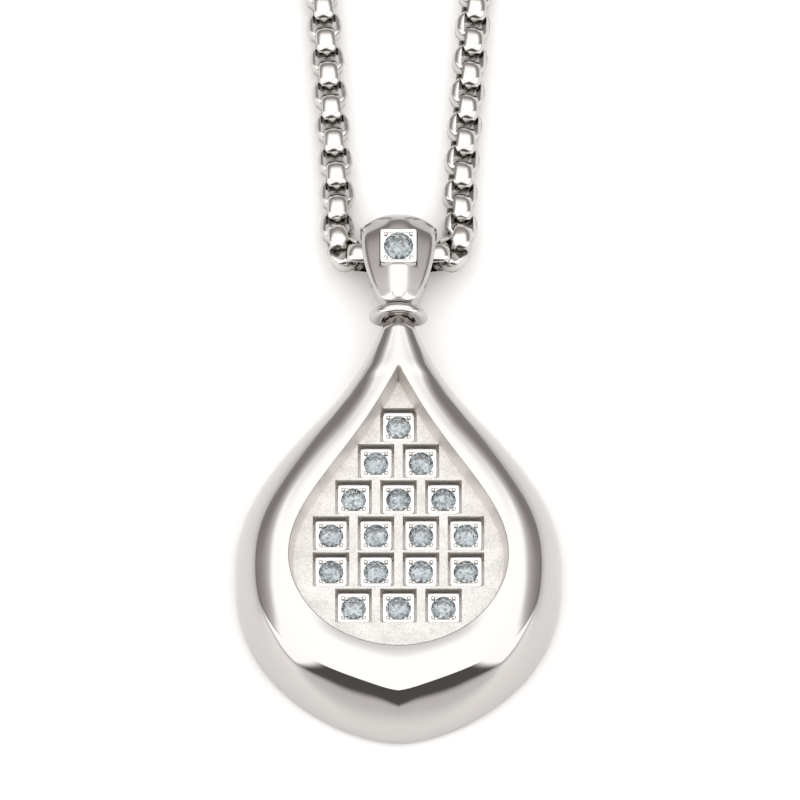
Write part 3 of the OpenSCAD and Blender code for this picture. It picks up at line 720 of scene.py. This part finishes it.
BAIL_TOP_Y, SHOULDER_Y, BAIL_STONE_Y = 32.54, 31.2, 28.65
BAIL_MIDDLE_Y, BAIL_HALF_Y, BAIL_HALF_Z = (BAIL_TOP_Y + FOOT_Y) / 2, (BAIL_TOP_Y - FOOT_Y) / 2, 3.1
# The strap's widths, and its thickness in front and behind, at the top and at the foot
BAIL_W, FOOT_W, STRAP_T, TOP_T, FOOT_T = 6.4, 2.6, 1.0, 1.1, 2.3
INSIDE_TOP_Y, INSIDE_LOW_Y = BAIL_TOP_Y - TOP_T, FOOT_Y + FOOT_T
WINDOW_W, WINDOW_COLUMNS, BAIL_STONE_D = 3.16, 0.5, 2.45
BAIL_GIRDLE, BAIL_STONE_TURN = 0.14, 0.1
# The front's slant in degrees, the shares of the half width where it starts and where the edge
# is rounded off, and how round both are
SIDE_TILT, RIDGE_SHARE, RIDGE_ROUND, EDGE_SHARE, EDGE_ROUND = 31, 0.2, 0.08, 0.86, 0.3
# How far the edges bow in behind, and with which power, how far the top's edges arch down, and
# the inner skin's shares of the outer one's width and slant
BACK_BOW, BOW_POWER, TOP_ARCH, INNER_SHARE, INNER_SLANT = 0.65, 2.6, 0.75, 0.95, 0.75
# By how much the strap is narrower behind, between which sines of the place round the loop the
# front sets in, the window's largest share of the width, and how far it lies up from the stone
NARROW_BEHIND, FRONT_FROM_TO, WINDOW_MOST, WINDOW_UP = 0.12, (0.3, 0.85), 0.8, 0.02
# The loop's mean power and its change to the top and the foot, half the way its middle sinks from
# the foot to the top, and by how much both skins' half heights grow towards the top
LOOP_POWER, POWER_CHANGE, LOOP_SINK, OUTER_GROWS, INNER_GROWS = 3.15, 0.65, 0.3, 0.2, 0.15
# Power of a number's size, with the number's sign
power = lambda x, n: np.sign(x) * np.abs(x) ** n


def bail_loop(a, middle_y, half_y, half_z):
    """Side view of the strap: a flattened egg whose y and z follow cos a and sin a, each raised
    to 2 / (LOOP_POWER - POWER_CHANGE cos a), so it is squarer at the foot than at the top."""
    bend = 2 / (LOOP_POWER - POWER_CHANGE * np.cos(a))
    return (middle_y + half_y * power(np.cos(a), bend),
            NECK_Z - LOOP_SINK - LOOP_SINK * np.cos(a) + half_z * power(np.sin(a), bend))


def bail_skins(a, share):
    """Outer and inner skin of the strap on a grid of a, the place round the loop, and share, the
    place across from -1 to 1. The strap's half width grows from the foot to the shoulders as
    1 - (1 - u)^2. Its front has a flat ridge with a slanting side on each hand and a rounded
    edge, and elsewhere its edges bend inwards with the power BOW_POWER of share."""
    a = a[:, None]
    outer_y, outer_z = bail_loop(a, BAIL_MIDDLE_Y, BAIL_HALF_Y,
                                 BAIL_HALF_Z + OUTER_GROWS * np.cos(a))
    inner_y, inner_z = bail_loop(a, (INSIDE_TOP_Y + INSIDE_LOW_Y) / 2, (INSIDE_TOP_Y - INSIDE_LOW_Y) / 2,
                                 BAIL_HALF_Z - STRAP_T + INNER_GROWS * np.cos(a))
    def half(y):
        u = np.clip((y - FOOT_Y) / (SHOULDER_Y - FOOT_Y), 0, 1)
        narrowed = NARROW_BEHIND * ease(-np.sin(a), 0, 1) * ease(y, FOOT_Y, INSIDE_LOW_Y)
        return (FOOT_W + (BAIL_W - FOOT_W) * (1 - (1 - u) ** 2)) / 2 * (1 - narrowed)
    # The columns inside |share| = WINDOW_COLUMNS keep the width of the window for the setting
    window = np.minimum(WINDOW_W / 2 / half(outer_y), WINDOW_MOST)
    beyond = (np.abs(share) - WINDOW_COLUMNS) / (1 - WINDOW_COLUMNS)
    s = np.where(np.abs(share) <= WINDOW_COLUMNS, share / WINDOW_COLUMNS * window,
                 np.sign(share) * (window + beyond * (1 - window)))
    inward = unit(np.dstack([inner_y - outer_y, inner_z - outer_z]))
    front = ease(np.sin(a), *FRONT_FROM_TO)
    off_ridge = np.abs(s) - RIDGE_SHARE
    slant = half(outer_y) * math.tan(math.radians(SIDE_TILT)) * (
        (off_ridge + np.hypot(off_ridge, RIDGE_ROUND)) / 2)
    edge = EDGE_ROUND * np.maximum(0, (np.abs(s) - EDGE_SHARE) / (1 - EDGE_SHARE)) ** 2
    bow = BACK_BOW * np.abs(s) ** BOW_POWER * (1 - front)
    arch = TOP_ARCH * ((1 + np.cos(a)) / 2) ** 2
    outer = np.dstack([s * half(outer_y), outer_y + inward[..., 0] * bow - arch * s ** 2,
                       outer_z + inward[..., 1] * bow - (slant + edge) * front])
    s = s * INNER_SHARE
    inner = np.dstack([s * half(inner_y), inner_y - arch * s ** 2,
                       inner_z - INNER_SLANT * slant * front])
    return outer, inner


TOP_ROWS, WINDOW_ROWS, REST_ROWS, ACROSS_WINDOW, ACROSS_EDGE = 30, 16, 120, 12, 12
edge_share = np.sin(np.linspace(0, np.pi / 2, ACROSS_EDGE))[1:]
edge_share = WINDOW_COLUMNS + (1 - WINDOW_COLUMNS) * edge_share
window_share = np.linspace(-WINDOW_COLUMNS, WINDOW_COLUMNS, ACROSS_WINDOW + 1)
share = np.concatenate([-edge_share[::-1], window_share, edge_share])[None, :]
# The places round the loop where the window starts and ends, read off an even run of places
even_a = np.linspace(0, 2 * np.pi, 721)
even_y = bail_loop(even_a, BAIL_MIDDLE_Y, BAIL_HALF_Y, BAIL_HALF_Z)[0]
front = even_a <= np.pi
window_y = [BAIL_STONE_Y + WINDOW_W / 2 + WINDOW_UP, BAIL_STONE_Y - WINDOW_W / 2 + WINDOW_UP]
window_a = np.interp([-y for y in window_y], -even_y[front], even_a[front])
around = np.concatenate([np.linspace(0, window_a[0], TOP_ROWS, endpoint=False),
                         np.linspace(window_a[0], window_a[1], WINDOW_ROWS, endpoint=False),
                         np.linspace(window_a[1], 2 * np.pi, REST_ROWS, endpoint=False)])
outer, inner = bail_skins(around, share)
rows, columns = outer.shape[:2]
profile = np.concatenate([outer, inner[:, ::-1]], axis=1)
strap = quads(rows, 2 * columns, close_columns=True, close_rows=True).reshape(rows, 2 * columns, 4)
# The window is cut through both skins, and a wall joins its two rims
cut = np.zeros(strap.shape[:2], bool)
first, last = len(edge_share), len(edge_share) + ACROSS_WINDOW
high_row, low_row = TOP_ROWS, TOP_ROWS + WINDOW_ROWS
cut[high_row:low_row, first:last] = True
cut[high_row:low_row, 2 * columns - 1 - last:2 * columns - 1 - first] = True
ring_rows = [*range(high_row, low_row), *[low_row] * ACROSS_WINDOW,
             *range(low_row, high_row, -1), *[high_row] * ACROSS_WINDOW]
ring_columns = [*[first] * WINDOW_ROWS, *range(first, last),
                *[last] * WINDOW_ROWS, *range(last, first, -1)]
rim_top = np.array(ring_rows) * 2 * columns + np.array(ring_columns)
rim_low = np.array(ring_rows) * 2 * columns + 2 * columns - 1 - np.array(ring_columns)
window_wall = np.stack([rim_top, np.roll(rim_top, -1), np.roll(rim_low, -1), rim_low], axis=1)
bail_mesh = solid_mesh("bail_strap", profile, [strap[~cut], window_wall], sharp_above=60)
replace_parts(add_piece("bail_strap", bail_mesh, steel), "bail")

x, y, low, high = node_middle("bail_setting")
points, faces = collet_parts(high[0] - low[0], BAIL_STONE_D, low[2], high[2],
                             high[2] - BAIL_GIRDLE)
mesh = solid_mesh("bail_collet", points + (x, y, 0), faces, sharp_above=35, weld=0.0005)
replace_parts(add_piece("bail_collet", mesh, bright), "bail_setting")
x, y, low, high = node_middle("bail_stone")
points, faces = brilliant_parts(BAIL_STONE_D, high[2] - (CROWN + GIRDLE / 2) * BAIL_STONE_D,
                                BAIL_STONE_TURN)
mesh = solid_mesh("bail_brilliant", points + (x, y, 0), faces, sharp_above=1)
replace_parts(add_piece("bail_brilliant", mesh, clear), "bail_stone")


# The round box chain.
# Short loops of steel strip, bevelled and rounded on the outside, each turned a quarter against
# the last and closed through its two neighbours. It lies on the table and runs through the bail.

CLASP_L, CLASP_D, IN_SOCKET = 12, 4, 1.5
# Middle line of the right strand, from the bail to the clasp's socket. The left one mirrors it.
CHAIN_ROUTE = [
    (0, 29, 2.95), (1.8, 29, 2.95), (3.1, 29.05, 2.9), (4.45, 29.6, 2.5), (5.05, 30.9, 2), (5.1, 32.5, 1.6),
    (5.15, 36, 1.5), (5.55, 42, 1.5), (6.0, 48, 1.5), (6.5, 54, 1.5), (7.5, 61, 1.5), (9.5, 69, 1.5),
    (13.2, 77.5, 1.5), (17.9, 86, 1.5), (23.6, 94, 1.5), (30, 102, 1.5), (36.6, 110, 1.5), (43, 118, 1.5),
    (48.8, 126.5, 1.5), (53.8, 135.5, 1.5), (57.7, 145.5, 1.5), (60.2, 156.5, 1.5), (61, 168, 1.5),
    (60, 179, 1.5), (57, 189.5, 1.5), (52.2, 198.5, 1.5), (45.8, 206.5, 1.5), (37.8, 213, 1.5),
    (28.9, 217.8, 1.5), (19.5, 220.5, 1.6), (10, 221.5, 1.9), (CLASP_L / 2 - IN_SOCKET, 221.5, CLASP_D / 2)]
LINK_PITCH, LINK_SIDES, ROUTE_STEPS = 1.53, 16, 24
# The half sizes of a link's hole, and the powers that make it square and the outside round
HOLE_ALONG, HOLE_ACROSS = 0.88, 0.96
HOLE_POWER, OUTSIDE_POWER = 9.0, 2.2
# The strip's section: how far across and how far out from the hole each of its edges lies
STRIP = np.array([(-0.82, 0), (-0.62, 0.42), (0, 0.54), (0.62, 0.42), (0.82, 0)])
# The right strand's roll in degrees, and how far beside the bail's middle it sets in. A link's
# direction is taken between the places HALF_LINK before and after it.
RIGHT_ROLL, ROLL_FROM_TO = -15, (4, 5)
HALF_LINK = 0.6


def smooth_route(knots):
    """Catmull-Rom curve through the knots: a cubic between each two, whose slope at a knot is
    half the way from the knot before it to the knot after it."""
    ends = np.concatenate([2 * knots[:1] - knots[1:2], knots, 2 * knots[-1:] - knots[-2:-1]])
    p0, p1, p2, p3 = (ends[i:len(ends) - 3 + i, None, :] for i in range(4))
    t = np.linspace(0, 1, ROUTE_STEPS, endpoint=False)[None, :, None]
    curve = 0.5 * (2 * p1 + (p2 - p0) * t + (2 * p0 - 5 * p1 + 4 * p2 - p3) * t ** 2
                   + (3 * p1 - p0 - 3 * p2 + p3) * t ** 3)
    return np.concatenate([curve.reshape(-1, 3), knots[-1:]])


def chain_links(route):
    """Points and faces of every link. A link is the strip's section carried round a rounded
    rectangle, |u / a|^n + |v / b|^n = 1, with u along the route and v across it, and 2 / n grows
    evenly from the square hole to the round outside. Every other link is turned a quarter, and
    their number is odd, so both strands look alike on either side of the middle link."""
    length = np.concatenate([[0], np.cumsum(np.linalg.norm(np.diff(route, axis=0), axis=1))])
    count = int(length[-1] // LINK_PITCH)
    count -= 1 - count % 2
    spots = (length[-1] - count * LINK_PITCH) / 2 + (np.arange(count) + 0.5) * LINK_PITCH
    place = lambda s: np.stack([np.interp(s, length, route[:, k]) for k in range(3)], axis=-1)
    middle = place(spots)
    along = unit(place(spots + HALF_LINK) - place(spots - HALF_LINK))
    side = unit(np.cross(along, (0, 0, 1)))
    up = np.cross(side, along)
    roll = (np.radians(RIGHT_ROLL) * ease(middle[:, 0], *ROLL_FROM_TO)
            + np.pi / 2 * (1 - np.arange(count) % 2))
    c, s = np.cos(roll)[:, None], np.sin(roll)[:, None]
    across, normal = side * c + up * s, up * c - side * s
    angle = np.linspace(0, 2 * np.pi, LINK_SIDES, endpoint=False)[:, None] + np.pi / LINK_SIDES
    w, out = STRIP[None, :, 0], STRIP[None, :, 1]
    bend = 2 / HOLE_POWER + (2 / OUTSIDE_POWER - 2 / HOLE_POWER) * out / STRIP[:, 1].max()
    u = (HOLE_ALONG + out) * power(np.cos(angle), bend)
    v = (HOLE_ACROSS + out) * power(np.sin(angle), bend)
    grid = lambda numbers, axis: numbers[None, :, :, None] * axis[:, None, None, :]
    points = middle[:, None, None, :] + grid(u, along) + grid(v, across) + grid(w + 0 * u, normal)
    one = quads(LINK_SIDES, len(STRIP), close_columns=True, close_rows=True)
    faces = (np.arange(count)[:, None, None] * LINK_SIDES * len(STRIP) + one[None]).reshape(-1, 4)
    return points.reshape(-1, 3), faces


knots = np.array(CHAIN_ROUTE, float)
knots = np.concatenate([(knots * (-1, 1, 1))[:0:-1], knots])
points, faces = chain_links(smooth_route(knots))

# Chain steel: stainless strip polished by tumbling, so its faces are bright, with faint waves of
# about a millimetre.
TUMBLE_WAVE = 1.1
tumbled, tree, shader = new_material("tumbled_stainless_steel", **{
    "Base Color": linear("#CBC8C5"), "Metallic": 1.0, "Roughness": 0.12})
place = add_node(tree, "ShaderNodeTexCoord").outputs["Object"]
waves = add_node(tree, "ShaderNodeTexNoise", {
    "Vector": place, "Scale": 1 / (TUMBLE_WAVE * MM), "Detail": 2.0})
gloss = add_node(tree, "ShaderNodeMapRange", {
    "Value": waves.outputs[0], "To Min": 0.07, "To Max": 0.18})
tree.links.new(gloss.outputs[0], shader.inputs["Roughness"])
chain_mesh = solid_mesh("box_chain_links", points, [faces], sharp_above=50, weld=0.0001)
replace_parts(add_piece("box_chain_links", chain_mesh, tumbled), "chain")


# The clasp.
# A plain barrel turned from steel and polished, with rounded rims, at the far end of the loop.
# The two ends of the chain run into its sockets.

clasp_y = CHAIN_ROUTE[-1][1]
BARREL_SIDES = 48
# Profile of one half, in mm inwards from the barrel's end and from its outside: the socket, the
# rounded rim and one turned groove
from_end = np.array([2, 2, 0.12, 0, 0.05, 0.3, 1.2, 1.3, 1.5, 1.6])
from_outside = np.array([CLASP_D / 2, 0.3, 0.3, 0.18, 0.08, 0, 0, 0.12, 0.12, 0])
barrel = np.stack([CLASP_L / 2 - from_end, CLASP_D / 2 - from_outside], axis=1)
barrel = np.concatenate([barrel, (barrel * (-1, 1))[::-1]])
turn = np.linspace(0, 2 * np.pi, BARREL_SIDES, endpoint=False)[None, :]
tube = np.dstack(np.broadcast_arrays(barrel[:, :1], clasp_y + barrel[:, 1:] * np.cos(turn),
                                     CLASP_D / 2 + barrel[:, 1:] * np.sin(turn)))
barrel_faces = quads(len(barrel), BARREL_SIDES, close_columns=True)
clasp_mesh = solid_mesh("barrel_clasp", tube, [barrel_faces], sharp_above=40)
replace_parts(add_piece("barrel_clasp", clasp_mesh, steel), "clasp")
